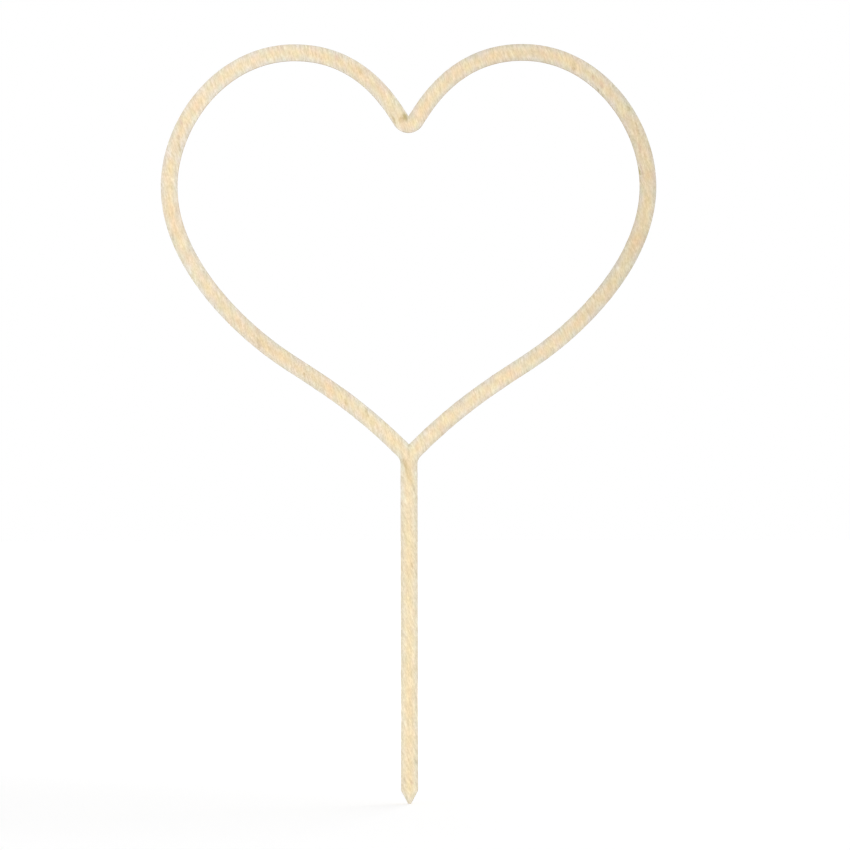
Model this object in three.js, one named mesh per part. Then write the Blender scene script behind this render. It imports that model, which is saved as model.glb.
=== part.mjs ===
import * as THREE from 'three';

// A cake topper cut from one sheet of thin three-ply wood: an open heart drawn as a band of even
// width, on a straight stake with a pointed end. Nothing is joined along the outline. What makes
// the piece is the sheet itself: two face veneers, a core veneer whose grain runs across them,
// and the two glue lines that hold the three together, all cut through in one pass.
//
// Millimetres. X runs across the heart, Y through the sheet with the front face at -Y, and Z up
// the stake. The origin is the tip of the stake, halfway through the sheet.

// The heart. Its height runs from the tops of the lobes down to the point under the heart where
// the outer edges of the two arms would meet, if the stake did not take their place.
const heartWidth = 150;
const heartHeight = 128.4;
const cleftDepth = 21.8;
const bandWidth = 5;

// The stake. Its length runs from the tip up to that same point.
const stakeLength = 101.6;
const stakeWidth = 5.1;
const pointLength = 4;
const pointShoulderRadius = 1.5;
const tipWidth = 0.8;
const tipCornerRadius = 0.3;

// The rounded corners where the arms run into the sides of the stake.
const armFilletRadius = 3.5;

// The sheet, layer by layer.
const faceVeneerThickness = 0.9;
const coreVeneerThickness = 1;
const glueLineThickness = 0.1;

// How closely straight facets follow the curves.
const facetLength = 1.8;
const cornerFacetAngle = Math.PI / 18;

// How the outer edge of one half of the heart runs: out of the cleft, over the top of the lobe,
// past the widest point, down the flank and in along the arm. A heading is the way the edge runs
// at a station, clockwise from straight up.
const lobeTopOutShare = 0.46;
const widestUpShare = 0.664;
const flankOutShare = 0.54;
const flankUpShare = 0.25;
const cleftHeading = THREE.MathUtils.degToRad(33);
const lobeTopHeading = THREE.MathUtils.degToRad(90);
const widestHeading = THREE.MathUtils.degToRad(180);
const flankHeading = THREE.MathUtils.degToRad(235);
const armHeading = THREE.MathUtils.degToRad(223);

// How long a curve's two handles are, as shares of the straight distance between its stations.
const innerLobeHandleShares = [0.15, 0.53];
const outerLobeHandleShares = [0.4, 0.35];
const flankHandleShares = [0.36, 0.28];
const armHandleShares = [0.22, 0.48];

const halfHeart = heartWidth / 2;
const halfStake = stakeWidth / 2;
const heartTop = stakeLength + heartHeight;

function station(out, up, heading) {
  return {
    point: new THREE.Vector2(out, up),
    direction: new THREE.Vector2(Math.sin(heading), Math.cos(heading)),
  };
}

const cleft = station(0, heartTop - cleftDepth, cleftHeading);
const lobeTop = station(lobeTopOutShare * halfHeart, heartTop, lobeTopHeading);
const widest = station(halfHeart, stakeLength + widestUpShare * heartHeight, widestHeading);
const flank = station(
  flankOutShare * halfHeart,
  stakeLength + flankUpShare * heartHeight,
  flankHeading,
);
const armsMeet = station(0, stakeLength, armHeading);

// One smooth curve that leaves a station and arrives at the next along their headings.
function curveBetween(from, to, [leavingShare, arrivingShare]) {
  const distance = from.point.distanceTo(to.point);
  const leaving = from.direction.clone().multiplyScalar(leavingShare * distance);
  const arriving = to.direction.clone().multiplyScalar(arrivingShare * distance);
  return new THREE.CubicBezierCurve(
    from.point,
    from.point.clone().add(leaving),
    to.point.clone().sub(arriving),
    to.point,
  );
}

// Walks along the outer edge in even steps. Each step knows which way the band lies from it.
function walkOuterEdge() {
  const curves = [
    curveBetween(cleft, lobeTop, innerLobeHandleShares),
    curveBetween(lobeTop, widest, outerLobeHandleShares),
    curveBetween(widest, flank, flankHandleShares),
    curveBetween(flank, armsMeet, armHandleShares),
  ];
  const steps = [];
  for (const curve of curves) {
    const count = Math.ceil(curve.getLength() / facetLength);
    const first = steps.length === 0 ? 0 : 1;
    for (let i = first; i <= count; i += 1) {
      const along = curve.getTangentAt(i / count);
      steps.push({
        point: curve.getPointAt(i / count),
        inward: new THREE.Vector2(along.y, -along.x),
      });
    }
  }
  return steps;
}

// The walk moved sideways by one distance: towards the band's inside, or away if it is negative.
function offsetEdge(steps, distance) {
  return steps.map(({ point, inward }) => point.clone().addScaledVector(inward, distance));
}

// Finds where a line of points first comes down to a given distance from the middle.
function whereItReaches(points, out) {
  const after = points.findIndex((point, i) => i > 0 && points[i - 1].x > out && point.x <= out);
  const before = after - 1;
  const share = (points[before].x - out) / (points[before].x - points[after].x);
  return { before, point: points[before].clone().lerp(points[after], share) };
}

// Points on an arc between two directions from its centre, ends included, the shorter way round.
function arc(centre, radius, fromDirection, toDirection) {
  const start = Math.atan2(fromDirection.y, fromDirection.x);
  const full = 2 * Math.PI;
  let turn = Math.atan2(toDirection.y, toDirection.x) - start;
  turn -= full * Math.round(turn / full);
  const count = Math.max(1, Math.ceil(Math.abs(turn) / cornerFacetAngle));
  return Array.from({ length: count + 1 }, (_, i) => {
    const angle = start + (turn * i) / count;
    const direction = new THREE.Vector2(Math.cos(angle), Math.sin(angle));
    return centre.clone().addScaledVector(direction, radius);
  });
}

// Rounds the convex corner between two straight runs, keeping to the right of the way along them.
function roundedCorner(before, corner, after, radius) {
  const arriving = corner.clone().sub(before).normalize();
  const leaving = after.clone().sub(corner).normalize();
  const halfTurn = Math.acos(THREE.MathUtils.clamp(arriving.dot(leaving), -1, 1)) / 2;
  const start = corner.clone().addScaledVector(arriving, -radius * Math.tan(halfTurn));
  const outOfStart = new THREE.Vector2(-arriving.y, arriving.x);
  const outOfEnd = new THREE.Vector2(-leaving.y, leaving.x);
  const centre = start.clone().addScaledVector(outOfStart, -radius);
  return arc(centre, radius, outOfStart, outOfEnd);
}

// The right half of the outside, from the cleft down to the tip: the heart's outer edge as far as
// the fillet, the fillet round into the side of the stake, the stake and its point. The point is
// blunt, with rounded corners, so that it parts sponge and icing without tearing them.
function rightHalfOutside(steps) {
  const filletOut = halfStake + armFilletRadius;
  const filletCentres = offsetEdge(steps, -armFilletRadius);
  const fillet = whereItReaches(filletCentres, filletOut);
  const edge = steps.slice(0, fillet.before + 1);
  const towardsArm = edge[edge.length - 1].inward;
  const towardsStake = new THREE.Vector2(-1, 0);
  const stakeSideTop = new THREE.Vector2(halfStake, fillet.point.y);
  const shoulder = new THREE.Vector2(halfStake, pointLength);
  const tipCorner = new THREE.Vector2(tipWidth / 2, 0);
  const tip = new THREE.Vector2(0, 0);
  return [
    ...offsetEdge(edge, 0),
    ...arc(fillet.point, armFilletRadius, towardsArm, towardsStake).slice(1),
    ...roundedCorner(stakeSideTop, shoulder, tipCorner, pointShoulderRadius),
    ...roundedCorner(shoulder, tipCorner, tip, tipCornerRadius),
  ];
}

// The right half of the opening: the outer edge moved in by the width of the band. The sharp cleft
// outside turns into a round nose inside, and the two arms end in a sharp notch over the stake.
function rightHalfOpening(steps) {
  const straightDown = new THREE.Vector2(0, -1);
  const nose = arc(cleft.point, bandWidth, straightDown, steps[0].inward);
  const innerEdge = offsetEdge(steps, bandWidth);
  const notch = whereItReaches(innerEdge, 0);
  return [
    new THREE.Vector2(0, cleft.point.y - bandWidth),
    ...nose.slice(1),
    ...innerEdge.slice(1, notch.before + 1),
    new THREE.Vector2(0, notch.point.y),
  ];
}

// Closes a right half into a whole outline with its mirror image. Points on the middle line stay
// single.
function mirrored(rightHalf) {
  const leftHalf = rightHalf
    .filter((point) => point.x !== 0)
    .map((point) => new THREE.Vector2(-point.x, point.y))
    .reverse();
  return [...rightHalf, ...leftHalf];
}

// The whole outline. The opening runs the other way round from the outside, as a hole has to.
function topperOutline() {
  const steps = walkOuterEdge();
  const outline = new THREE.Shape(mirrored(rightHalfOutside(steps)));
  outline.holes.push(new THREE.Path(mirrored(rightHalfOpening(steps)).reverse()));
  return outline;
}

// Stands the flat outline up: its own height becomes Z, and its thickness runs towards the front.
const standUp = new THREE.Matrix4().makeBasis(
  new THREE.Vector3(1, 0, 0),
  new THREE.Vector3(0, 0, 1),
  new THREE.Vector3(0, -1, 0),
);

// One layer of the sheet, from its front side at Y = front to its rear side.
function layer(name, outline, front, thickness, material) {
  const geometry = new THREE.ExtrudeGeometry(outline, { depth: thickness, bevelEnabled: false });
  geometry.applyMatrix4(standUp);
  geometry.translate(0, front + thickness, 0);
  const mesh = new THREE.Mesh(geometry, material);
  mesh.name = name;
  return mesh;
}

function faceWood() {
  return new THREE.MeshStandardMaterial({ color: 0xeadbbe, roughness: 0.7, metalness: 0 });
}

function coreWood() {
  return new THREE.MeshStandardMaterial({ color: 0xdcc398, roughness: 0.8, metalness: 0 });
}

function glue() {
  return new THREE.MeshStandardMaterial({ color: 0x7a5836, roughness: 0.6, metalness: 0 });
}

// The layers in their order from front to rear, each resting face to face on the one before.
function topper() {
  const outline = topperOutline();
  const stack = [
    ['front_veneer', faceVeneerThickness, faceWood()],
    ['front_glue_line', glueLineThickness, glue()],
    ['core_veneer', coreVeneerThickness, coreWood()],
    ['rear_glue_line', glueLineThickness, glue()],
    ['rear_veneer', faceVeneerThickness, faceWood()],
  ];
  const sheetThickness = stack.reduce((sum, [, thickness]) => sum + thickness, 0);
  const group = new THREE.Group();
  let front = -sheetThickness / 2;
  for (const [name, thickness, material] of stack) {
    group.add(layer(name, outline, front, thickness, material));
    front += thickness;
  }
  return group;
}

export default topper();
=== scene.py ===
# %% [markdown]
# # An open heart cake topper, cut from thin plywood
#
# The object is one flat cut piece: an open heart drawn as a band of even width, on a straight
# stake with a pointed end. Nothing is joined along its outline. What it is made of shows on its
# cut edge, where three veneers lie on each other with two dark glue lines between them.
#
# The packed CAD model already has the outline and the five layers at their real size. This
# lesson keeps that outline and gives it what CAD leaves out: smooth curves in place of facets,
# softened corners, the slight hollows that a laser leaves along a cut edge, and wood that can be
# looked at closely. Lengths on the piece are in millimetres until they become a mesh, and those
# of the floor, the lamps and the camera's place are in metres.

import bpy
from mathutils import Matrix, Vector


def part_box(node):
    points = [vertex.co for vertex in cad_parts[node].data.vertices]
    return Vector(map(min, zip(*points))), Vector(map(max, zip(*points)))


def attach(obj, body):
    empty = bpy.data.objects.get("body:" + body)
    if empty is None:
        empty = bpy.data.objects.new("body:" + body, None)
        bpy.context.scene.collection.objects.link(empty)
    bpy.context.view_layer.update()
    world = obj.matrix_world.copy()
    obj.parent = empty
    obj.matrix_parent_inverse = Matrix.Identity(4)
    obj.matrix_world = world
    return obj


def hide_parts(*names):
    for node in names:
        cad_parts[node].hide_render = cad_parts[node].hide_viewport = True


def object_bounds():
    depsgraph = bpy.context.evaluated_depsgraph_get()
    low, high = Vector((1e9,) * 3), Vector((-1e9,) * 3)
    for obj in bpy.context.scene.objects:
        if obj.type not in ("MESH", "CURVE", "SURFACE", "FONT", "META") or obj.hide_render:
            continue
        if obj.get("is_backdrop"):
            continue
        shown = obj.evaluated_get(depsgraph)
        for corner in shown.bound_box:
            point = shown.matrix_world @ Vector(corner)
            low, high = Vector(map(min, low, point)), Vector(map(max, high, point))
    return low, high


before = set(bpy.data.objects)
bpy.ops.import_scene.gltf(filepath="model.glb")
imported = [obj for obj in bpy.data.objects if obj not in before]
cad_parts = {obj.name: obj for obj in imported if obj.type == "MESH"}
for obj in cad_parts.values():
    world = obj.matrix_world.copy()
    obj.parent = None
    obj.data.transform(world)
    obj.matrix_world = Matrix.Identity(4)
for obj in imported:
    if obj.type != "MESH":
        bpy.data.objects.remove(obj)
print("nodes of the CAD model:", ", ".join(sorted(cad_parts)))

# %% Keep the CAD box, to compare the finished model with it
import math

import bmesh
import bpy
import numpy as np
from mathutils import Vector, geometry, kdtree, noise

cad_low, cad_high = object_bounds()
MM = 0.001
cad_size = [round((high - low) / MM, 2) for low, high in zip(cad_low, cad_high)]
print("CAD model, width, thickness and height in mm:", cad_size)

# %% [markdown]
# ## The cut line
#
# A laser cuts such a topper in two passes: once round the opening of the heart, and once round
# the outside and the stake. Both lines are wanted here as plain rows of points. They could be
# typed in again from a drawing, but then the two models could drift apart. So they are read off
# the front face of the CAD model: an edge that only one triangle of the flat face uses lies on
# the border of that face, and following such edges from point to point gives closed loops.
#
# Seen from the front the face's triangles run anticlockwise, so along every border edge the wood
# lies on the left. That one fact later tells each point which way is into the wood.

# %% Trace the borders of the front face
WELD = 1e-6


def face_borders(node_name):
    """The closed loops of (across, up) points round the front face of a node, tallest first.

    Each loop starts at its lowest point, so that every run of this lesson gives the same mesh.
    """
    mesh = bmesh.new()
    mesh.from_mesh(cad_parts[node_name].data)
    bmesh.ops.remove_doubles(mesh, verts=mesh.verts, dist=WELD)
    front = min(vert.co.y for vert in mesh.verts)
    flat = {face for face in mesh.faces if all(v.co.y < front + WELD for v in face.verts)}
    after = {}
    for face in flat:
        for corner in face.loops:
            if not any(other in flat for other in corner.edge.link_faces if other is not face):
                after[corner.vert] = corner.link_loop_next.vert
    loops = []
    while after:
        start = next(iter(after))
        loop = [start]
        while after[loop[-1]] is not start:
            loop.append(after.pop(loop[-1]))
        after.pop(loop[-1])
        points = np.array([(vert.co.x / MM, vert.co.z / MM) for vert in loop])
        lowest = np.lexsort(points.T)[0]
        loops.append(np.roll(points, -lowest, 0))
    mesh.free()
    return sorted(loops, key=lambda loop: np.ptp(loop[:, 1]), reverse=True)


borders = face_borders("front_veneer")
for name, border in zip(("outside", "opening"), borders):
    print(f"{name}: {len(border)} facets, {np.ptp(border, 0).round(2)} mm across and up")

# %% [markdown]
# ## From facets to curves
#
# The CAD outline follows its curves with short straight facets. A subdivision modifier would
# smooth them, but it would also round the two sharp corners that make the heart, the cleft at
# the top and the notch over the stake. Instead each facet is replaced by a small curve whose two
# ends point the way the cut runs there. Three rules give those directions:
#
# - through an ordinary point runs the circle that also passes its two neighbours;
# - where the turn is sharp, the cut has a corner, and its two sides are worked out apart;
# - a run much longer than a facet is a straight side of the stake, and stays straight.

# %% Directions of the cut at every point
SHARP_TURN = math.radians(25)
STRAIGHT_RUN = 3.2


def turned_left(vectors):
    """The vectors turned a quarter anticlockwise, which is from along the cut to into the wood."""
    return np.stack([-vectors[..., 1], vectors[..., 0]], -1)


def mirrored(vectors, axes):
    """The vectors mirrored about unit axes: a circle's two ends mirror about its chord."""
    return 2 * np.sum(vectors * axes, -1, keepdims=True) * axes - vectors


def cut_directions(points):
    """For each point, the way the cut arrives there and the way it leaves, and which are corners."""
    run = np.roll(points, -1, 0) - points
    length = np.linalg.norm(run, axis=1, keepdims=True)
    ahead = run / length
    behind = np.roll(ahead, 1, 0)
    length_behind = np.roll(length, 1, 0)
    through = behind * length + ahead * length_behind
    through = np.where(length > STRAIGHT_RUN, ahead, through)
    through = np.where(length_behind > STRAIGHT_RUN, behind, through)
    through /= np.linalg.norm(through, axis=1, keepdims=True)
    turn = np.arccos(np.clip(np.sum(ahead * behind, 1), -1, 1))
    corner = turn > SHARP_TURN
    flat_ends = corner & np.roll(corner, -1)
    leaving = np.where(corner[:, None], mirrored(np.roll(through, -1, 0), ahead), through)
    leaving = np.where((flat_ends | (length[:, 0] > STRAIGHT_RUN))[:, None], ahead, leaving)
    arriving = np.where(corner[:, None], mirrored(np.roll(through, 1, 0), behind), through)
    into = np.roll(flat_ends | (length[:, 0] > STRAIGHT_RUN), 1)[:, None]
    arriving = np.where(into, behind, arriving)
    return arriving, leaving, corner


for name, border in zip(("outside", "opening"), borders):
    _, _, corner = cut_directions(border)
    print(f"{name}: sharp corners at {border[corner].round(1).tolist()}")

# %% The curve that takes the place of a facet
STATION_GAP, FINEST_GAP = 0.8, 0.06
STATION_TURN = math.radians(4)


def on_curve(start, end, leaving, arriving, t):
    """The place at a share t of the way along the curve, and the way that it runs there."""
    length = np.linalg.norm(end - start)
    place = (
        (2 * t**3 - 3 * t**2 + 1) * start
        + (t**3 - 2 * t**2 + t) * length * leaving
        + (3 * t**2 - 2 * t**3) * end
        + (t**3 - t**2) * length * arriving
    )
    slope = (
        (6 * t**2 - 6 * t) * (start - end) / length
        + (3 * t**2 - 4 * t + 1) * leaving
        + (3 * t**2 - 2 * t) * arriving
    )
    return place, slope / np.linalg.norm(slope)


def station_count(start, end, leaving, arriving):
    """How many stations the curve gets: enough for its length, and more where it bends."""
    length = np.linalg.norm(end - start)
    bend = math.acos(max(-1.0, min(1.0, float(leaving @ arriving))))
    for_turn = min(math.ceil(bend / STATION_TURN), math.ceil(length / FINEST_GAP))
    return max(math.ceil(length / STATION_GAP), for_turn)


print(f"stations lie about {STATION_GAP} mm apart at most, and closer where the cut bends")


# %% Stations close together along the smooth cut
def fan(before, after):
    """Unit vectors from one to the other in even steps, clockwise."""
    start = math.atan2(before[1], before[0])
    sweep = (start - math.atan2(after[1], after[0])) % math.tau
    steps = math.ceil(sweep / SHARP_TURN)
    angles = [start - sweep * k / steps for k in range(steps + 1)]
    return [np.array([math.cos(a), math.sin(a)]) for a in angles]


def smooth_cut(points):
    """Stations along the smooth cut: place, direction into the wood, and its normals there.

    Moving a station by a depth times its direction keeps it at that depth from the cut, also at
    a corner. The normals of an inside corner fan out, and an outside corner has none.
    """
    arriving, leaving, corner = cut_directions(points)
    places, inward, normals = [], [], []
    for i, start in enumerate(points):
        j = (i + 1) % len(points)
        facet = (start, points[j], leaving[i], arriving[j])
        count = station_count(*facet)
        for k in range(count):
            place, way = on_curve(*facet, k / count)
            places.append(place)
            if k or not corner[i]:
                inward.append(turned_left(way))
                normals.append([turned_left(way)])
                continue
            before, after = turned_left(arriving[i]), turned_left(leaving[i])
            inward.append((before + after) / (1 + before @ after))
            outside_corner = before @ leaving[i] > 0
            normals.append([] if outside_corner else fan(before, after))
    return np.array(places), np.array(inward), normals


cuts = [smooth_cut(border) for border in borders]
print("stations along the outside and the opening:", [len(places) for places, _, _ in cuts])

# %% [markdown]
# ## How deep in the wood a point lies
#
# The scorched rim of a laser cut is a matter of distance: the wood is brown right at the cut and
# clean a few tenths of a millimetre further in. The material therefore needs to know, for every
# point of the face, how far the cut is. A tree of all stations finds the nearest one quickly,
# and the distance to the two short runs that meet there is exact.

# %% Distance from any point of the face to the cut
station_tree = kdtree.KDTree(sum(len(places) for places, _, _ in cuts))
station_runs = []
for places, _, _ in cuts:
    for k, place in enumerate(places):
        station_tree.insert((*place, 0), len(station_runs))
        station_runs.append((places[k - 1], place, places[(k + 1) % len(places)]))
station_tree.balance()


def distance_to_run(point, start, end):
    """How far a point lies from a straight run between two stations."""
    run = end - start
    share = float(np.clip((point - start) @ run / (run @ run), 0, 1))
    return float(np.linalg.norm(point - start - share * run))


def distance_to_cut(point):
    """How far a point of the face lies from the nearest cut."""
    _, nearest, _ = station_tree.find((*point, 0))
    before, here, after = station_runs[nearest]
    return min(distance_to_run(point, before, here), distance_to_run(point, here, after))


MIDDLE_OF_STAKE = np.array((0.0, 50.0))
print(f"the middle of the stake lies {distance_to_cut(MIDDLE_OF_STAKE):.2f} mm from the cut")

# %% [markdown]
# ## The face of a layer, filled with triangles
#
# The face is a long thin band that forks twice, so it has no simple grid. A constrained Delaunay
# fill suits it: it keeps the two cut lines as edges and joins any points between them into well
# shaped triangles. The points given to it lie in rows beside the cut, closest together where the
# scorching fades, because the distance is kept per point and blended between points.
#
# The fill also covers what is cut away. A triangle is kept if a line from its middle crosses the
# cuts an odd number of times. Just outside a straight side it can leave slivers of no width that
# pass this test by chance. They give themselves away: they run along the cut the wrong way.

# %% Rows of points beside the cuts
RIM_ROWS = (0.16, 0.3, 0.5, 0.9, 1.4, 1.9, 2.4)
ROW_TOLERANCE = 0.98
CLOSEST_POINTS = 0.1


def points_beside(stations):
    """Points in rows beside the cuts, without any too near to another cut or to the last one."""
    found = [Vector((0, 0))]
    for depth in RIM_ROWS:
        for place, way in stations:
            point = Vector(place + depth * way)
            clear = distance_to_cut(np.array(point)) > ROW_TOLERANCE * depth
            if clear and (point - found[-1]).length > CLOSEST_POINTS:
                found.append(point)
    return np.array(found[1:])


rim = points_beside([
    (place, way)
    for places, _, normals in cuts
    for place, ways in zip(places, normals)
    for way in ways
])
rim_depths = [distance_to_cut(point) for point in rim]
print(f"{len(rim)} points beside the cuts, down to {max(rim_depths):.2f} mm into the wood")


# %% Fill the space between the two cut lines
def inside_wood(points, loops):
    """True for each point that lies between the loops: a line from it crosses them an odd count."""
    inside = np.zeros(len(points), bool)
    for loop in loops:
        after = np.roll(loop, -1, 0)
        for (x0, z0), (x1, z1) in zip(loop, after):
            crosses = (z0 > points[:, 1]) != (z1 > points[:, 1])
            if crosses.any():
                reach = x0 + (points[crosses, 1] - z0) * (x1 - x0) / (z1 - z0)
                inside[crosses] ^= points[crosses, 0] < reach
    return inside


def fill_face(loops, extra):
    """Triangles, anticlockwise, over the loops' points followed by the extra points."""
    points = np.concatenate([*loops, extra])
    edges, first = [], 0
    for loop in loops:
        ids = range(first, first + len(loop))
        edges += list(zip(ids, [*ids[1:], first]))
        first += len(loop)
    _, _, faces, source, _, _ = geometry.delaunay_2d_cdt(
        [Vector(point) for point in points], edges, [], 0, WELD, True
    )
    triangles = [[source[c][0] for c in face] for face in faces]
    inside = inside_wood(points[triangles].mean(1), loops)
    wrong_way = {(end, start) for start, end in edges}
    return [
        (a, b, c)
        for (a, b, c), keep in zip(triangles, inside)
        if keep and not wrong_way & {(a, b), (b, c), (c, a)}
    ]


plain_fill = fill_face([places for places, _, _ in cuts], np.zeros((0, 2)))
print("triangles between the cuts alone:", len(plain_fill))

# %% [markdown]
# ## A flat pattern of each layer
#
# Whoever uses the model elsewhere needs its wood as a picture, and a picture needs a flat pattern
# of the surface. Unfolded in one piece, the heart is a thin ring round a large empty middle, and
# nearly all of the picture would stay blank. So each layer is sorted into offcuts, as a joiner
# sorts short lengths. The stake is divided by height and the heart by the direction seen from its
# middle. The cut edge comes off as a tape, in lengths of its own. Every offcut is turned level,
# and they are laid in rows on the smallest square that holds them, the tallest first. The glued
# sides, which nobody sees, are laid a fifth as large.

# %% Sort the face into offcuts
OFFCUT_LENGTH = 20.0
OFFCUT_SECTOR = math.radians(15)
STAKE_TOP = borders[1][:, 1].min()
HEART_MIDDLE = borders[1].mean(0)


def offcut_of(point):
    """Which offcut of the face a point belongs to."""
    if point[1] < STAKE_TOP:
        return f"stake {point[1] // OFFCUT_LENGTH:.0f}"
    across, up = point - HEART_MIDDLE
    return f"heart {math.atan2(up, across) // OFFCUT_SECTOR:.0f}"


def turned_level(points):
    """The points turned so that they reach furthest across."""
    spread = np.cov(points.T)
    lean = math.atan2(2 * spread[0, 1], spread[0, 0] - spread[1, 1]) / 2
    along = np.array([math.cos(lean), math.sin(lean)])
    return np.stack([points @ along, points @ turned_left(along)], 1)


print(f"the stake is divided up to {STAKE_TOP:.1f} mm, the heart about {HEART_MIDDLE.round(1)}")

# %% Lay the offcuts in rows
OFFCUT_GAP = 0.25
UNSEEN_SCALE = 0.2
WIDENING = 1.01


def rows_of_offcuts(sizes, width):
    """Where each offcut starts when they are laid in rows, and how high all the rows are."""
    starts, x, y, row_height = [], OFFCUT_GAP, OFFCUT_GAP, 0
    for wide, high in sizes:
        if x + wide + OFFCUT_GAP > width:
            x, y, row_height = OFFCUT_GAP, y + row_height + OFFCUT_GAP, 0
        starts.append((x, y))
        x += wide + OFFCUT_GAP
        row_height = max(row_height, high)
    return np.array(starts), y + row_height + OFFCUT_GAP


def lay_pattern(mesh, names, corners):
    """Gives the mesh its flat pattern, from each corner's offcut and its place there in mm."""
    names, corners = np.array(names), np.array(corners)
    offcuts = []
    for name in np.unique(names):
        mine = np.flatnonzero(names == name)
        flat = corners[mine] if name.startswith("edge") else turned_level(corners[mine])
        flat = (flat - flat.min(0)) * (UNSEEN_SCALE if name.startswith("unseen") else 1)
        offcuts.append((mine, flat, flat.max(0)))
    offcuts.sort(key=lambda offcut: offcut[2][1], reverse=True)
    sizes = [size for _, _, size in offcuts]
    width = max(wide for wide, _ in sizes) + 2 * OFFCUT_GAP
    starts, height = rows_of_offcuts(sizes, width)
    while height > width:
        width *= WIDENING
        starts, height = rows_of_offcuts(sizes, width)
    for (mine, flat, _), start in zip(offcuts, starts):
        corners[mine] = (flat + start) / width
    mesh.uv_layers.new(name="OFBake").data.foreach_set("uv", corners.ravel())
    print(f"{mesh.name}: {len(offcuts)} offcuts on a square of {width:.0f} mm")


print(f"offcuts lie {OFFCUT_GAP} mm apart, and a glued side is laid at {UNSEEN_SCALE} of its size")

# %% [markdown]
# ## One layer of the sheet
#
# Every layer is a closed solid: a face, a back, and a wall along each cut. The wall is built as
# rows of stations from front to back. On the two outer veneers the first rows turn the corner
# between face and edge with a small radius, which is what a light sanding leaves. Between the
# rest, the wall sinks or swells by a few hundredths of a millimetre, since a laser burns soft
# early wood, hard late wood and glue at different rates. Glue chars back furthest, so the two
# glue lines end as fine grooves. All layers keep exactly the cut line where they touch.

# %% Rows of the wall, from the front of a layer to its back
ARRIS_RADIUS = 0.09
ARRIS_STEPS = 3


def arris_rows(outer, towards):
    """(depth, y) of the rows that round an outer corner, from the flat face to the wall."""
    rows = []
    for k in range(ARRIS_STEPS + 1):
        angle = math.pi / 2 * (1 - k / ARRIS_STEPS)
        depth = ARRIS_RADIUS * (1 - math.cos(angle))
        rows.append((depth, outer + towards * ARRIS_RADIUS * (1 - math.sin(angle))))
    return rows


def wall_rows(front, back, count):
    """(y, share) of the rows between two layers: the share tells how much a row may sink."""
    return [
        (front + (back - front) * k / (count + 1), math.sin(math.pi * k / (count + 1)))
        for k in range(1, count + 1)
    ]


def layer_rows(front, back, between, arris):
    """(depth, y, share) of every row of a layer's wall, from its front side to its rear side."""
    first = arris_rows(front, 1) if arris == "front" else [(0, front)]
    last = arris_rows(back, -1)[::-1] if arris == "rear" else [(0, back)]
    rows = [(depth, y, 0) for depth, y in first]
    rows += [(0, y, share) for y, share in wall_rows(first[-1][1], last[0][1], between)]
    return rows + [(depth, y, 0) for depth, y in last]


print("a rounded corner, depth and y in mm:", np.round(arris_rows(0, 1), 3).tolist())

# %% Gather a layer's points and faces
HOLLOW_PATCH = 2.4
THROUGH_PATCH = 1.1


def unevenness(place, y):
    """A smooth value about from -1 to 1 that differs along the cut and through the sheet."""
    at = (place[0] / HOLLOW_PATCH, y / THROUGH_PATCH, place[1] / HOLLOW_PATCH)
    return 2 * noise.noise(at, noise_basis="PERLIN_ORIGINAL")


class Layer:
    """A layer's points and faces, with the offcut and the flat corners of each face, in mm."""

    def __init__(self):
        self.points, self.from_cut = [], []
        self.faces, self.offcuts, self.corners = [], [], []

    def add_point(self, place, y, from_cut):
        self.points.append((place[0] * MM, y * MM, place[1] * MM))
        self.from_cut.append(from_cut)

    def add_face(self, points, offcut, corners):
        self.faces.append(points)
        self.offcuts += [offcut] * len(points)
        self.corners += list(corners)


trial = [unevenness(place, 0) for place in cuts[1][0]]
print(f"unevenness along the opening: {min(trial):.2f} to {max(trial):.2f}")


# %% The wall along a cut
def add_wall(layer, cut, rows, outer, sink, roughness):
    """Adds the wall along one cut, and tells where its front and rear rows of points start."""
    places, inward, _ = cuts[cut]
    count, base = len(places), len(layer.points)
    for depth, y, share in rows:
        for place, way in zip(places, inward):
            burnt = share * (sink + roughness * unevenness(place, y))
            layer.add_point(place + (depth + burnt) * way, y, depth - abs(y - outer))
    along = np.cumsum([0, *np.linalg.norm(np.roll(places, -1, 0) - places, axis=1)])
    steps = [math.hypot(b[0] - a[0], b[1] - a[1]) for a, b in zip(rows, rows[1:])]
    down = -np.cumsum([0, *steps])
    for row in range(len(rows) - 1):
        for k in range(count):
            here, right = base + row * count + k, base + row * count + (k + 1) % count
            corners = [(along[k], down[row]), (along[k], down[row + 1])]
            corners += [(along[k + 1], down[row + 1]), (along[k + 1], down[row])]
            offcut = f"edge {cut} {along[k] // OFFCUT_LENGTH:.0f}"
            layer.add_face((here, here + count, right + count, right), offcut, corners)
    return base, base + (len(rows) - 1) * count


print("faces in a row of the wall, outside and opening:", [len(places) for places, _, _ in cuts])


# %% The flat sides of a layer
def add_side(layer, which, y, starts, seen):
    """Fills the front or rear side between the rows that start at the given points."""
    depth = ARRIS_RADIUS if seen else 0
    loops = [places + depth * inward for places, inward, _ in cuts]
    extra, extra_depths = (rim, rim_depths) if seen else (np.zeros((0, 2)), [])
    ids = [start + k for start, loop in zip(starts, loops) for k in range(len(loop))]
    ids += range(len(layer.points), len(layer.points) + len(extra))
    for point, from_cut in zip(extra, extra_depths):
        layer.add_point(point, y, from_cut)
    points = np.concatenate([*loops, extra])
    turn = 1 if which == "front" else -1
    for triangle in fill_face(loops, extra):
        triangle = list(triangle[::turn])
        flat = points[triangle]
        offcut = f"{'seen' if seen else 'unseen'} {which} {offcut_of(flat.mean(0))}"
        layer.add_face([ids[c] for c in triangle], offcut, flat * (turn, 1))


print("a flat side is sorted into", len({offcut_of(point) for point in rim}), "offcuts")

# %% Build each layer as a closed mesh
SHARP_EDGE = math.radians(38)
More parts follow.
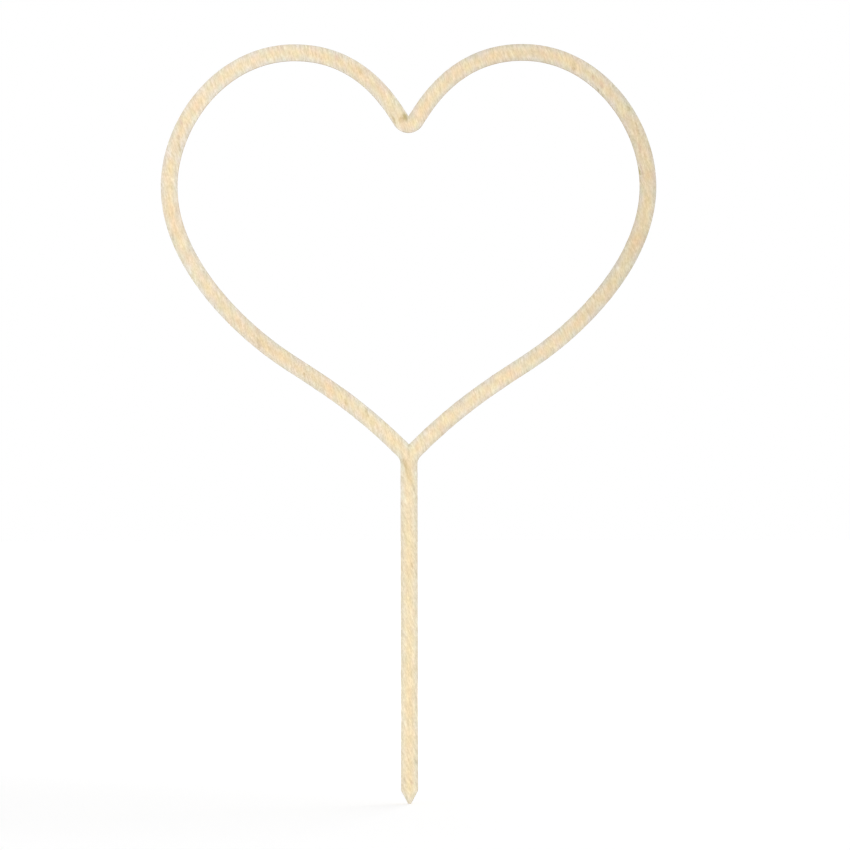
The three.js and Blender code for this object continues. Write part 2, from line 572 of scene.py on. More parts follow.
# Rows between the two sides, how deep the wall sinks there in mm, and how unevenly.
FACE_WALL, CORE_WALL, GLUE_WALL = (3, 0.0, 0.02), (3, -0.004, 0.03), (1, 0.03, 0.012)


def build_layer(name, node_name, rows_between, sink, roughness, arris=None):
    """A closed mesh for one layer of the sheet. The arris is 'front', 'rear' or None."""
    low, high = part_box(node_name)
    front, back = low.y / MM, high.y / MM
    outer = back if arris == "rear" else front
    rows = layer_rows(front, back, rows_between, arris)
    layer = Layer()
    walls = [add_wall(layer, cut, rows, outer, sink, roughness) for cut in range(len(cuts))]
    front_starts, rear_starts = zip(*walls)
    add_side(layer, "front", front, front_starts, arris == "front")
    add_side(layer, "rear", back, rear_starts, arris == "rear")
    mesh = bpy.data.meshes.new(name)
    mesh.from_pydata(layer.points, [], layer.faces)
    from_cut = mesh.attributes.new("from_cut", "FLOAT", "POINT")
    from_cut.data.foreach_set("value", layer.from_cut)
    lay_pattern(mesh, layer.offcuts, layer.corners)
    mesh.shade_smooth()
    mesh.set_sharp_from_angle(angle=SHARP_EDGE)
    piece = bpy.data.objects.new(name, mesh)
    bpy.context.scene.collection.objects.link(piece)
    counts = f"{len(layer.points)} points, {len(layer.faces)} faces"
    print(f"{name}: {counts}, y {front:.2f} to {back:.2f} mm")
    return piece


front_ply = build_layer("front_face_ply", "front_veneer", *FACE_WALL, arris="front")
front_glue = build_layer("front_glue_film", "front_glue_line", *GLUE_WALL)
core_ply = build_layer("cross_grain_core", "core_veneer", *CORE_WALL)
rear_glue = build_layer("rear_glue_film", "rear_glue_line", *GLUE_WALL)
rear_ply = build_layer("rear_face_ply", "rear_veneer", *FACE_WALL, arris="rear")

# %% [markdown]
# ## A short way to write a material
#
# The front veneer alone takes more than two hundred shader nodes, and wiring them by hand would
# hide the idea behind them. The two small classes below add one or a few nodes per call and pass
# the result on, so a material reads like a recipe: take a noise, stretch it along the grain,
# stain the wood with it.


# %% Colours as a camera names them
def paint(red, green, blue):
    """A colour as an eye or a camera names it, 0 to 255, in the linear values of a shader."""
    linear = [((c / 255 + 0.055) / 1.055) ** 2.4 for c in (red, green, blue)]
    return (*linear, 1.0)


print("a grey of 128 in a picture is", round(paint(128, 128, 128)[0], 3), "in a shader")


# %% One call for each shader node
class Wiring:
    """Adds shader nodes to one material, or to the world, and hands back their outputs."""

    def __init__(self, owner, shader="Principled BSDF"):
        owner.use_nodes = True
        self.owner = owner
        self.tree = owner.node_tree
        self.shader = self.tree.nodes[shader]

    def feed(self, socket, value):
        """Links another node's output to the socket, or sets a plain value on it."""
        if isinstance(value, bpy.types.NodeSocket):
            self.tree.links.new(value, socket)
        else:
            socket.default_value = value

    def add(self, kind, inputs, **settings):
        """A new node with its settings made and its inputs fed."""
        node = self.tree.nodes.new(kind)
        for key, value in settings.items():
            setattr(node, key, value)
        for key, value in inputs.items():
            self.feed(node.inputs[key], value)
        return node

    def vector(self, operation, a, b=None, scale=None, value=False):
        """The result of a vector operation, or its number where value is true."""
        inputs = {0: a} if b is None else {0: a, 1: b}
        if scale is not None:
            inputs["Scale"] = scale
        node = self.add("ShaderNodeVectorMath", inputs, operation=operation)
        return node.outputs["Value" if value else "Vector"]

    def math(self, operation, a, b):
        """The result of an operation on two numbers."""
        return self.add("ShaderNodeMath", {0: a, 1: b}, operation=operation).outputs[0]

    def attribute(self, name):
        """A number that the mesh keeps in every point."""
        return self.add("ShaderNodeAttribute", {}, attribute_name=name).outputs["Fac"]

    def place(self):
        """Where a point lies on the object, in millimetres."""
        here = self.add("ShaderNodeTexCoord", {}).outputs["Object"]
        return self.vector("SCALE", here, scale=1 / MM)

    def along(self, vector, axis):
        """One coordinate of a place: X is across, Y through the sheet and Z up."""
        return self.add("ShaderNodeSeparateXYZ", {"Vector": vector}).outputs[axis]


print("calls that add nodes:", ", ".join(name for name in vars(Wiring) if not name.startswith("_")))

# %% The verbs of a recipe
SPECKLE_SPREAD = (0.3, 0.7)


class Recipe(Wiring):
    """Mixes noises and colours, and dresses the shader with them."""

    def turned(self, vector, degrees):
        """The place turned about the axis that runs through the sheet."""
        node = self.add(
            "ShaderNodeVectorRotate",
            {"Vector": vector, "Angle": math.radians(degrees)},
            rotation_type="Y_AXIS",
        )
        return node.outputs[0]

    def speckle(self, vector, size, detail=2.0, rough=0.5, seed=0.0):
        """Soft noise from 0 to 1 whose blobs have the given sizes in x, y and z."""
        shrunk = self.vector("DIVIDE", vector, size)
        moved = self.vector("ADD", shrunk, (seed, 1.7 * seed, -2.3 * seed))
        inputs = {"Vector": moved, "Scale": 1.0, "Detail": detail, "Roughness": rough}
        return self.add("ShaderNodeTexNoise", inputs, noise_dimensions="3D").outputs["Fac"]

    def between(self, value, low, high, smooth=True):
        """0 where the value is below low, 1 above high, and an easy slope between."""
        kind = "SMOOTHSTEP" if smooth else "LINEAR"
        inputs = {"Value": value, "From Min": low, "From Max": high}
        return self.add("ShaderNodeMapRange", inputs, interpolation_type=kind).outputs["Result"]

    def within(self, value, low, high):
        """A value from 0 to 1 stretched to run from low to high."""
        inputs = {"Value": value, "To Min": low, "To Max": high}
        return self.add("ShaderNodeMapRange", inputs).outputs["Result"]

    def peaks(self, speckle, low, high, strength):
        """0 where the speckle is below low, and the strength where it peaks above high."""
        return self.within(self.between(speckle, low, high), 0.0, strength)

    def stain(self, colour, over, amount, way="MIX"):
        """A colour laid over another one, as strongly as the amount says."""
        node = self.add("ShaderNodeMix", {}, data_type="RGBA", blend_type=way)
        sockets = {socket.identifier: socket for socket in (*node.inputs, *node.outputs)}
        self.feed(sockets["Factor_Float"], amount)
        self.feed(sockets["A_Color"], colour)
        self.feed(sockets["B_Color"], over)
        return sockets["Result_Color"]

    def tinted(self, colour, speckle, low, high, strength, amount):
        """The colour multiplied by a tint: low where the speckle is weak, high where strong."""
        weak, strong = ([1 + strength * (c - 1) for c in tint] for tint in (low, high))
        share = self.between(speckle, *SPECKLE_SPREAD, smooth=False)
        tint = self.stain((*weak, 1), (*strong, 1), share)
        return self.stain(colour, tint, amount, "MULTIPLY")

    def seen(self):
        """1 for what the camera sees, itself or in a reflection, and 0 for light that falls."""
        path = self.add("ShaderNodeLightPath", {})
        direct = self.math("MAXIMUM", path.outputs["Is Camera Ray"], path.outputs["Is Glossy Ray"])
        return self.math("MAXIMUM", direct, path.outputs["Is Transmission Ray"])

    def dress(self, colour, roughness, relief, strength, depth):
        """Feeds the shader its colour, roughness and relief, and hands back the material."""
        inputs = {"Height": relief, "Strength": strength, "Distance": depth * MM}
        bump = self.add("ShaderNodeBump", inputs)
        self.feed(self.shader.inputs["Base Color"], colour)
        self.feed(self.shader.inputs["Roughness"], roughness)
        self.feed(self.shader.inputs["Normal"], bump.outputs["Normal"])
        print(f"{self.owner.name}: {len(self.tree.nodes)} nodes")
        return self.owner


print("verbs of a recipe:", ", ".join(name for name in vars(Recipe) if not name.startswith("_")))

# %% [markdown]
# ## The face veneer
#
# The faces are a pale, close-grained veneer, peeled from a log and sanded. From a step away it
# looks one even cream. Close to, several things happen at once, each at its own scale:
#
# - the face is a touch darker towards its right side, and paler down the stake, where the paleness
#   is painted light that makes up for the stake getting less light than the heart;
# - the sheet is a little darker here and lighter there, over some five centimetres;
# - patches about a centimetre long are a shade duller and more peach, or paler and more straw;
# - smaller ones lean to warm or cool, and to rose or olive, about four millimetres long, and
#   all these patches show half as strongly on the stake, which is a calm stretch of the sheet;
# - light and dark bands follow the grain, about a millimetre and a half apart;
# - the cut pores show as short dashes a third of a millimetre wide, among finer fibres;
# - hairs and pinholes under a tenth of a millimetre wide show only from very near;
# - single marks, such as the brown knot beside the cleft, are what the eye remembers.
#
# All but the first and the last are noises. They could be mixed in as colours, but then every
# layer of noise would dull the ones under it. So each multiplies the wood by a tint close to 1
# instead, darker or lighter, warmer or cooler, and none hides another.
#
# The grain doesn't run along the stake. The sheet was laid under the laser as it came, so the
# streaks lean from the top left to the bottom right. Rather than painting along the outline, the
# recipe turns space itself by the angle of the grain and stretches every noise along it, so the
# same grain runs on over the face, round the edge and from the stake into the heart.

# %% The tone of the wood under its grain, with painted light down the stake
# The third colour is painted light: a paler wood laid down the stake, where less light reaches.
WOOD, DEEP_WOOD, PAINTED_LIGHT_WOOD = paint(240, 220, 184), paint(229, 209, 173), paint(247, 227, 187)
DEEPENS_FROM, DEEPEST_AT = 0.0, 90.0
PAINTED_LIGHT_FROM, PAINTED_LIGHT_FULL_AT = 150.0, 60.0


def tone_with_painted_light(mix, place):
    """The even wood, darker towards its right side, and paler down the stake as painted light."""
    deep = mix.between(mix.along(place, "X"), DEEPENS_FROM, DEEPEST_AT)
    # Painted light: the wood turns paler down the stake, to make up for the light it gets less of.
    pale = mix.between(mix.along(place, "Z"), PAINTED_LIGHT_FROM, PAINTED_LIGHT_FULL_AT)
    return mix.stain(mix.stain(WOOD, DEEP_WOOD, deep), PAINTED_LIGHT_WOOD, pale)


print("the wood in linear values:", np.round(WOOD[:3], 3).tolist())

# %% Patches and streaks of the grain
GRAIN_LEAN = 17.0
SWAY_SIZE, SWAY = (22, 22, 30), 5.0
CALM, CALM_BELOW = 0.5, (95.0, 118.0)
DARK, LIGHT = (0.915, 0.90, 0.86), (1.085, 1.10, 1.14)
COOL, WARM = (0.947, 0.982, 1.075), (1.054, 1.018, 0.93)
ROSE, OLIVE = (1.02, 0.967, 1.013), (0.98, 1.034, 0.987)
STRAW, PEACH = (0.98, 1.025, 1.06), (1.015, 0.97, 0.935)
# Size in mm across the grain, through the sheet and along the grain, then detail, roughness,
# seed, the two tints and how strongly they show.
BROAD = ((38, 60, 52), 1, 0.5, 0, DARK, LIGHT, 0.32)
MOTTLE = ((6.0, 12.0, 11.0), 2, 0.5, 7, STRAW, PEACH, 0.8)
WARMTH = ((2.2, 4.0, 4.2), 1, 0.5, 11, COOL, WARM, 0.6)
HUE = ((2.4, 5.0, 4.5), 1, 0.5, 23, ROSE, OLIVE, 0.66)
BANDS = ((0.75, 2.0, 3.5), 1, 0.5, 31, DARK, LIGHT, 0.85)
DASHES = ((0.35, 0.8, 0.9), 1, 0.5, 41, DARK, LIGHT, 0.85)
FIBRES = ((0.2, 0.8, 3.2), 2, 0.6, 37, DARK, LIGHT, 0.55)
HAIRS = ((0.07, 0.8, 2.0), 2, 0.6, 43, DARK, LIGHT, 0.75)
print("widths across the grain, in mm:", [size[0] for size, *_ in (BANDS, DASHES, FIBRES, HAIRS)])


def streaked(mix, place, wood, streak, seed, amount=1.0):
    """The wood tinted by one of the noises above, and that noise."""
    size, detail, rough, own_seed, low, high, strength = streak
    speckle = mix.speckle(place, size, detail, rough, seed + own_seed)
    return mix.tinted(wood, speckle, low, high, strength, amount), speckle


# %% The pits, and the whole grain
# Size as above, seed, where the speckle starts and ends to be a pit, tint and strength.
PORES = ((0.24, 0.8, 1.5), 47, 0.72, 0.82, paint(168, 142, 102), 0.5)
PINHOLES = ((0.05, 0.3, 0.6), 59, 0.66, 0.76, paint(176, 150, 110), 0.45)
BANDS_RISE, HAIRS_RISE = 0.6, 0.4
print("widths of the pits across the grain, in mm:", [size[0] for size, *_ in (PORES, PINHOLES)])


def with_grain(mix, place, wood, seed):
    """The wood with its grain, and the fibres that give it its relief."""
    sway = mix.math("MULTIPLY", mix.speckle(place, SWAY_SIZE, 1, seed=seed + 3), SWAY)
    bent = mix.vector("ADD", place, mix.vector("SCALE", (1, 0, 0), scale=sway))
    grain = mix.turned(bent, GRAIN_LEAN)
    calm = mix.within(mix.between(mix.along(place, "Z"), *CALM_BELOW), CALM, 1.0)

    wood, _ = streaked(mix, place, wood, BROAD, seed)
    for patches in (MOTTLE, WARMTH, HUE):
        wood, _ = streaked(mix, grain, wood, patches, seed, calm)
    wood, bands = streaked(mix, grain, wood, BANDS, seed)
    wood, _ = streaked(mix, grain, wood, DASHES, seed)
    wood, fibres = streaked(mix, grain, wood, FIBRES, seed)
    wood, hairs = streaked(mix, grain, wood, HAIRS, seed)
    for size, own_seed, start, end, tint, strength in (PORES, PINHOLES):
        pits = mix.speckle(grain, size, 1, seed=seed + own_seed)
        wood = mix.stain(wood, tint, mix.peaks(pits, start, end, strength))

    relief = mix.math("ADD", fibres, mix.math("MULTIPLY", bands, BANDS_RISE))
    relief = mix.math("ADD", relief, mix.math("MULTIPLY", hairs, HAIRS_RISE))
    return wood, relief


# %% [markdown]
# ## Single marks
#
# Noise alone makes wood that is the same everywhere. A real sheet has its few marks where they
# happen to be: a small knot beside the cleft, a long brown streak where the stake begins, pale
# and dark flecks along the arms. Each is a soft oval laid along the grain. A mapping node of the
# texture kind turns space so that the oval becomes a ball of radius 1, and the distance from its
# middle fades the tint. The ovals get their ragged outline from a little noise added to the
# place, which all of them share.

# %% The flecks of the front face: across, up, length and width in mm, and tint
KNOT, BROWN, DULL = (0.69, 0.64, 0.44), (0.83, 0.79, 0.7), (0.88, 0.87, 0.86)
HONEY, BLUSH, PALE = (0.9, 0.87, 0.78), (0.92, 0.85, 0.88), (1.06, 1.1, 1.16)
FRONT_FLECKS = (
    (-1.1, 207.9, 3.5, 2.1, KNOT),
    (-2.3, 207.2, 2.4, 1.9, BROWN),
    (-4.6, 207.5, 4.4, 0.8, BROWN),
    (-1.4, 103.3, 4.0, 1.7, BROWN),
    (-0.1, 100.0, 8.5, 2.3, HONEY),
    (1.4, 96.0, 3.5, 1.0, DULL),
    (0.0, 108.6, 1.2, 1.0, BROWN),
    (-45.3, 139.7, 4.2, 1.6, DULL),
    (-31.8, 130.0, 2.2, 0.9, BROWN),
    (-19.2, 121.6, 2.6, 1.2, BROWN),
    (-18.7, 123.9, 2.2, 0.9, DULL),
    (-12.7, 118.6, 3.6, 0.9, BROWN),
    (-21.5, 225.9, 2.8, 1.6, BLUSH),
    (-14.6, 222.1, 3.0, 1.6, HONEY),
    (-69.6, 201.8, 2.0, 1.1, DULL),
    (-69.4, 198.8, 3.7, 0.8, BROWN),
    (-68.8, 206.3, 2.6, 0.9, BLUSH),
    (-71.5, 171.8, 3.4, 1.0, DULL),
    (50.2, 223.2, 3.2, 1.5, DULL),
    (70.0, 198.5, 5.0, 1.2, BLUSH),
    (69.4, 204.0, 5.6, 0.8, BROWN),
    (66.5, 210.4, 2.8, 1.1, BROWN),
    (70.6, 192.0, 5.0, 0.8, BLUSH),
    (69.9, 191.5, 2.8, 0.7, KNOT),
    (57.5, 216.0, 1.2, 0.9, BROWN),
    (50.0, 222.4, 1.9, 0.9, BROWN),
    (58.5, 217.8, 3.6, 1.5, BLUSH),
    (55.9, 219.8, 2.4, 1.5, BLUSH),
    (54.3, 149.0, 3.5, 1.2, DULL),
    (43.6, 137.3, 2.4, 1.5, DULL),
    (0.9, 72.2, 2.4, 1.0, BROWN),
    (1.8, 13.0, 3.2, 1.0, DULL),
    (-1.5, 6.9, 2.2, 1.0, DULL),
    (0.6, 6.4, 2.0, 0.9, BLUSH),
    (-1.6, 93.3, 6.5, 1.5, PALE),
    (-1.6, 25.0, 4.0, 1.0, PALE),
    (63.5, 161.8, 4.4, 1.4, PALE),
    (-72.2, 197.6, 4.2, 1.3, PALE),
    (-66.3, 161.9, 3.8, 1.1, PALE),
)
longest = max(length for _, _, length, _, _ in FRONT_FLECKS)
print(f"{len(FRONT_FLECKS)} flecks on the front face, the longest {longest} mm")

# %% Lay the flecks on the wood
FLECK_HEART, FLECK_RIM = 0.35, 1.15
THROUGH_THE_SHEET = 20.0
RAGGED_SCALE, RAGGED_REACH = 1.6, 1.2
print(f"a fleck is full out to {FLECK_HEART} of its radius and gone at {FLECK_RIM} of it")


def with_flecks(mix, place, wood, flecks, seed):
    """The wood with each fleck multiplied into it, strongest in its middle."""
    inputs = {"Vector": place, "Scale": RAGGED_SCALE, "W": seed}
    ragged = mix.add("ShaderNodeTexNoise", inputs, noise_dimensions="4D").outputs["Color"]
    ragged = mix.vector("SUBTRACT", ragged, (0.5, 0.5, 0.5))
    place = mix.vector("ADD", place, mix.vector("SCALE", ragged, scale=RAGGED_REACH))
    for across, up, length, width, tint in flecks:
        inputs = {
            "Vector": place,
            "Location": (across, 0, up),
            "Rotation": (0, -math.radians(GRAIN_LEAN), 0),
            "Scale": (width / 2, THROUGH_THE_SHEET, length / 2),
        }
        ball = mix.add("ShaderNodeMapping", inputs, vector_type="TEXTURE").outputs["Vector"]
        out = mix.vector("LENGTH", ball, value=True)
        wood = mix.stain(wood, (*tint, 1), mix.between(out, FLECK_RIM, FLECK_HEART), "MULTIPLY")
    return wood


# %% [markdown]
# ## The cut
#
# Three marks of the laser follow the outline. The edge itself is toasted to tan, with fine lines
# straight through the sheet from the pulses of the beam. On the face, the heat has bleached a
# strip about two millimetres wide to a paler, cooler cream, and smoke greys its outer half, more
# so on the right half. Both change the wood itself, so they
# go under the grain, which then runs on undimmed. In many places the last third of a millimetre
# is scorched as well, on top of everything. The distance kept in every point places them all. It
# falls below zero on the edge, so one number tells the face from the edge too.

# %% Heat and smoke beside the cut
BLEACH, BLEACH_REACH, BLEACH_STRENGTH = (0.91, 1.055, 1.4), 2.1, 0.62
SMOKE, SMOKE_REACH, SMOKE_FULL = paint(191, 185, 165), 1.15, 0.45
LEFT_SMOKE, RIGHT_SMOKE, SMOKE_RAMP_ACROSS = 0.15, 0.26, (-4.0, 12.0)
print(f"bleached {BLEACH_REACH} mm and smoked {SMOKE_REACH} mm into the face")


def heated(mix, place, wood):
    """The wood bleached by the heat beside the cut, and greyed by smoke."""
    from_cut = mix.attribute("from_cut")
    bleach = mix.between(from_cut, BLEACH_REACH, 0.0, smooth=False)
    bleach = mix.within(bleach, 0.0, BLEACH_STRENGTH)
    wood = mix.stain(wood, (*BLEACH, 1), bleach, "MULTIPLY")
    # The smoke grows stronger from the left half of the piece to its right half.
    right = mix.between(mix.along(place, "X"), *SMOKE_RAMP_ACROSS)
    smoke_share = mix.within(right, LEFT_SMOKE, RIGHT_SMOKE)
    smoke = mix.math("MULTIPLY", mix.between(from_cut, SMOKE_REACH, SMOKE_FULL), smoke_share)
    return mix.stain(wood, SMOKE, smoke)


# %% Scorch at the rim and toast on the edge
SCORCH, SCORCH_REACH, SCORCH_FULL, SCORCH_STRENGTH = paint(160, 150, 128), 0.36, 0.1, 0.16
SCORCH_SIZE, SCORCH_SPREAD = (1.6, 1.6, 1.6), (0.42, 0.66)
EDGE_STARTS, EDGE_FULL = 0.02, -0.1
EDGE_PALE, EDGE_DARK = paint(218, 190, 146), paint(178, 146, 104)
EDGE_TOAST_SIZE, EDGE_PULSE_SIZE = (2.6, 1.2, 2.6), (0.16, 4.0, 0.16)
TOAST_SPREAD, PULSE_SPREAD, PULSE_STRENGTH = (0.35, 0.7), (0.5, 0.75), 0.5
print(f"scorched {SCORCH_REACH} mm into the face, with lines {EDGE_PULSE_SIZE[0]} mm wide on the edge")


def toasted(mix, toast, pulses, pale, dark, line):
    """A cut edge from pale to dark tan, with the lines that the pulses leave."""
    edge = mix.stain(pale, dark, mix.between(toast, *TOAST_SPREAD))
    return mix.stain(edge, line, mix.peaks(pulses, *PULSE_SPREAD, PULSE_STRENGTH))


def burnt(mix, place, wood, seed):
    """The wood with the scorched line at its rim and its toasted edge."""
    from_cut = mix.attribute("from_cut")
    patches = mix.speckle(place, SCORCH_SIZE, 3, 0.6, seed + 53)
    near = mix.between(from_cut, SCORCH_REACH, SCORCH_FULL)
    scorch = mix.math("MULTIPLY", near, mix.between(patches, *SCORCH_SPREAD))
    wood = mix.stain(wood, SCORCH, mix.within(scorch, 0.0, SCORCH_STRENGTH))

    toast = mix.speckle(place, EDGE_TOAST_SIZE, 2, seed=seed + 61)
    pulses = mix.speckle(place, EDGE_PULSE_SIZE, 1, seed=seed + 67)
    edge = toasted(mix, toast, pulses, EDGE_PALE, EDGE_DARK, EDGE_DARK)
    return mix.stain(wood, edge, mix.between(from_cut, EDGE_STARTS, EDGE_FULL))


# %% The whole recipe of a face ply
WOOD_SHINE = 0.3
FACE_ROUGHNESS = (0.5, 0.74)
FACE_BUMP, FACE_BUMP_DEPTH = 0.3, 0.02
REAR_SEED = 60.0


def face_veneer(name, seed, flecks=()):
    """Pale sanded veneer, cut by laser. Flecks are single marks at chosen places."""
    mix = Recipe(bpy.data.materials.new(name))
    mix.shader.inputs["Specular IOR Level"].default_value = WOOD_SHINE
    place = mix.place()
    wood = heated(mix, place, tone_with_painted_light(mix, place))
    wood, relief = with_grain(mix, place, wood, seed)
    wood = with_flecks(mix, place, wood, flecks, seed)
    wood = burnt(mix, place, wood, seed)
    roughness = mix.within(relief, *FACE_ROUGHNESS)
    return mix.dress(wood, roughness, relief, FACE_BUMP, FACE_BUMP_DEPTH)


front_wood = face_veneer("pale_face_veneer_front", 0.0, FRONT_FLECKS)
rear_wood = face_veneer("pale_face_veneer_rear", REAR_SEED)

# %% [markdown]
# ## The core and the glue
#
# Only the cut edge of these layers ever shows. The core's grain runs across the faces', so the
# edge shows its pores end on as dots where the face plies show long fibres. The laser leaves the
# whole edge tan, a little darker in the core. The cured glue chars darkest, and its two thin
# lines are what makes an edge read as plywood.

# %% The scorched edge of the core
CORE_PALE, CORE_DARK, CORE_LINE = paint(192, 158, 112), paint(150, 116, 76), paint(132, 98, 64)
CORE_TOAST_SIZE, CORE_PULSE_SIZE = (3.0, 0.8, 3.0), (0.14, 4.0, 0.14)
CORE_PORE, CORE_PORE_SIZE = paint(98, 70, 44), (0.22, 0.12, 0.22)
CORE_PORE_SPREAD, CORE_PORE_STRENGTH = (0.66, 0.76), 0.65
CORE_ROUGHNESS = (0.6, 0.85)
CORE_BUMP, CORE_BUMP_DEPTH = 0.5, 0.03


def scorched_core(name):
    """Veneer cut across its grain: tan, with pores end on."""
    mix = Recipe(bpy.data.materials.new(name))
    mix.shader.inputs["Specular IOR Level"].default_value = WOOD_SHINE
    place = mix.place()
    toast = mix.speckle(place, CORE_TOAST_SIZE, 3, 0.6, 71)
    pulses = mix.speckle(place, CORE_PULSE_SIZE, 2, seed=73)
    wood = toasted(mix, toast, pulses, CORE_PALE, CORE_DARK, CORE_LINE)
    pores = mix.speckle(place, CORE_PORE_SIZE, 1, seed=79)
    wood = mix.stain(wood, CORE_PORE, mix.peaks(pores, *CORE_PORE_SPREAD, CORE_PORE_STRENGTH))
    roughness = mix.within(toast, *CORE_ROUGHNESS)
    return mix.dress(wood, roughness, pulses, CORE_BUMP, CORE_BUMP_DEPTH)


core_wood = scorched_core("scorched_cross_grain_core")

# %% The charred glue
GLUE_PALE, GLUE_DARK, CRUST_SPREAD = paint(104, 74, 48), paint(60, 42, 28), (0.35, 0.65)
CRUST_SIZE = (0.5, 0.2, 0.5)
GLUE_ROUGHNESS = (0.45, 0.75)
GLUE_BUMP, GLUE_BUMP_DEPTH = 0.4, 0.03


def charred_glue(name):
    """Cured glue with the crust that the laser leaves on it."""
    mix = Recipe(bpy.data.materials.new(name))
    crust = mix.speckle(mix.place(), CRUST_SIZE, 3, 0.6, 83)
    glue = mix.stain(GLUE_PALE, GLUE_DARK, mix.between(crust, *CRUST_SPREAD))
    roughness = mix.within(crust, *GLUE_ROUGHNESS)
    return mix.dress(glue, roughness, crust, GLUE_BUMP, GLUE_BUMP_DEPTH)


glue_char = charred_glue("charred_glue")

# %% [markdown]
# ## Each layer takes the place of its CAD solid
#
# The five layers ride on the one body that the part has, and each stands for the CAD node that
# it was built from.

# %% Dress the layers and put them on the frame
layers = (
    (front_ply, "front_veneer", "face_veneer", front_wood),
    (front_glue, "front_glue_line", "glue_line", glue_char),
    (core_ply, "core_veneer", "core_veneer", core_wood),
    (rear_glue, "rear_glue_line", "glue_line", glue_char),
    (rear_ply, "rear_veneer", "face_veneer", rear_wood),
)
for piece, node_name, slot_name, finish in layers:
    piece.data.materials.append(finish)
    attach(piece, "root")
    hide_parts(node_name)
    print(f"{piece.name} stands for {node_name}, finished with {finish.name}")

# %% [markdown]
# ## Floor and light
#
# Such a piece is pictured straight on, against white. The floor is a wide pale disc under the
# tip of the stake. A floor that is lit from above alone comes out grey far from the lamps, so it
# also glows a little, for the camera alone: just enough near the piece to turn white and still
# keep a soft shadow, and more further away. A large lamp from the left front and a weaker one
# from the right light the face, and one behind lights the back for anyone who walks round the
# piece. All three hang low, so that the stake gets as much light as the heart.

# %% A wide disc for the floor, in metres
FLOOR_RADIUS = 9.0
FLOOR_SIDES = 96
floor_mesh = bmesh.new()
bmesh.ops.create_circle(floor_mesh, cap_ends=True, segments=FLOOR_SIDES, radius=FLOOR_RADIUS)
floor_data = bpy.data.meshes.new("studio_floor")
floor_mesh.to_mesh(floor_data)
floor_mesh.free()
floor = bpy.data.objects.new("studio_floor", floor_data)
bpy.context.scene.collection.objects.link(floor)
floor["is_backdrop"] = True
print(f"the floor is a disc of {FLOOR_SIDES} sides, {2 * FLOOR_RADIUS:.0f} m across")

# %% The white of the floor
WHITE, OFF_WHITE, MATT = (1, 1, 1, 1), (0.8, 0.8, 0.8, 1), 0.9
NEAR_GLOW, NEAR_RADIUS = 0.32, 0.5
FAR_GLOW, FAR_RADIUS = 0.65, 2.5
floor_mix = Recipe(bpy.data.materials.new("white_floor"))
floor_mix.shader.inputs["Base Color"].default_value = OFF_WHITE
floor_mix.shader.inputs["Roughness"].default_value = MATT
floor_mix.shader.inputs["Emission Color"].default_value = WHITE
metres = floor_mix.add("ShaderNodeTexCoord", {}).outputs["Object"]
away = floor_mix.vector("LENGTH", metres, value=True)
glow = floor_mix.between(away, NEAR_RADIUS, FAR_RADIUS)
glow = floor_mix.within(glow, NEAR_GLOW, FAR_GLOW)
glow = floor_mix.math("MULTIPLY", glow, floor_mix.seen())
floor_mix.feed(floor_mix.shader.inputs["Emission Strength"], glow)
floor_data.materials.append(floor_mix.owner)
print(f"the floor glows {NEAR_GLOW} near the piece and {FAR_GLOW} from {FAR_RADIUS} m away")

# %% White surroundings that light the piece softly
AMBIENT = 0.5
world_mix = Recipe(bpy.data.worlds.new("white_studio"), "Background")
world_mix.shader.inputs["Color"].default_value = WHITE
strength = world_mix.within(world_mix.seen(), AMBIENT, 1.0)
world_mix.feed(world_mix.shader.inputs["Strength"], strength)
bpy.context.scene.world = world_mix.owner
print(f"the surroundings look white and light the piece with {AMBIENT} of that")

# %% Three soft lamps: name, place and width in metres, and watts
LAMP_HEIGHT = 0.5
LAMPS = (
    ("left_front_lamp", (-0.9, -1.25, 0.3), 1.0, 9.5),
    ("right_front_lamp", (1.3, -1.5, 0.3), 1.2, 7.5),
    ("rear_lamp", (0.7, 1.6, 0.35), 1.2, 18.0),
)
middle = Vector((0, 0, (cad_low.z + cad_high.z) / 2))


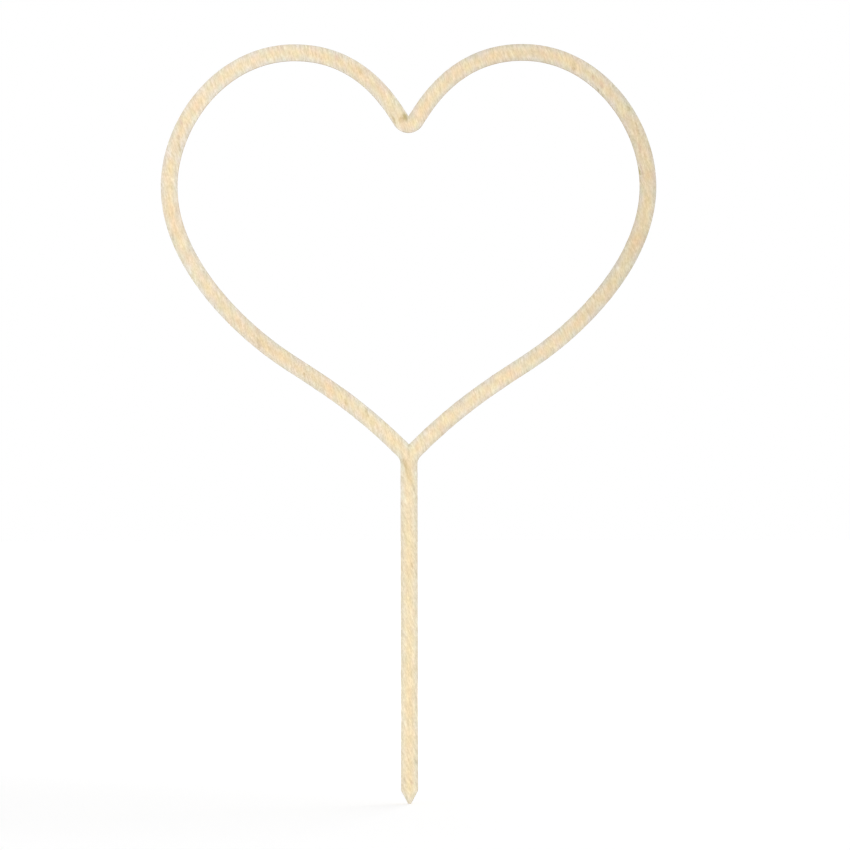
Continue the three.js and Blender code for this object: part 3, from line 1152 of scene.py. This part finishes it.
def soft_lamp(name, place, width, watts):
    """A low wide lamp aimed at the middle of the piece."""
    data = bpy.data.lights.new(name, "AREA")
    data.shape = "RECTANGLE"
    data.size = width
    data.size_y = LAMP_HEIGHT
    data.energy = watts
    lamp = bpy.data.objects.new(name, data)
    lamp.location = place
    to_piece = middle - Vector(place)
    lamp.rotation_euler = to_piece.to_track_quat("-Z", "Y").to_euler()
    bpy.context.scene.collection.objects.link(lamp)
    print(f"{name}: {watts} W, {to_piece.length:.2f} m away")


for lamp_values in LAMPS:
    soft_lamp(*lamp_values)

# %% [markdown]
# ## The camera
#
# The picture shows the piece square to its face, with no vanishing lines, so the camera stands
# far off with a long lens. Three things that can be measured in the picture place it: how many
# pixels the heart is wide, on which pixel the tip of the stake lies, and that the frame is turned
# by a tenth of a degree.

# %% The camera of the picture
PICTURE_PX = 850
HEART_PX = 495.5
TIP_PX = (409.59, 803.94)
CAMERA_DISTANCE = 4.0
CAMERA_ROLL = 0.0017
SENSOR_WIDTH = 36.0
metres_per_px = (cad_high.x - cad_low.x) / HEART_PX
from_tip = Vector((PICTURE_PX / 2 - TIP_PX[0], TIP_PX[1] - PICTURE_PX / 2))
aim_x = (from_tip.x + CAMERA_ROLL * from_tip.y) * metres_per_px
aim_z = (from_tip.y - CAMERA_ROLL * from_tip.x) * metres_per_px
camera_data = bpy.data.cameras.new("square_on_camera")
camera_data.sensor_width = SENSOR_WIDTH
to_face = CAMERA_DISTANCE + cad_low.y
camera_data.lens = SENSOR_WIDTH * to_face / (PICTURE_PX * metres_per_px)
camera = bpy.data.objects.new("square_on_camera", camera_data)
camera.location = (aim_x, -CAMERA_DISTANCE, aim_z)
camera.rotation_euler = (math.pi / 2, CAMERA_ROLL, 0)
bpy.context.scene.collection.objects.link(camera)
bpy.context.scene.camera = camera
bpy.context.scene.view_settings.view_transform = "Standard"
print(f"lens {camera_data.lens:.1f} mm, aimed {aim_x / MM:.2f} mm right, {aim_z / MM:.2f} mm up")

# %% [markdown]
# ## Does it still fit the CAD model?
#
# Smoothing may only fill the slivers between facets and curves. How far each side of the box
# moved from the CAD box is printed, so that this can be checked after every change.

# %% Compare the two boxes and finish
new_low, new_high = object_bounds()
moved = np.array([*new_low, *new_high]) - np.array([*cad_low, *cad_high])
print("how far each side of the box moved, in mm:", np.round(moved / MM, 3).tolist())
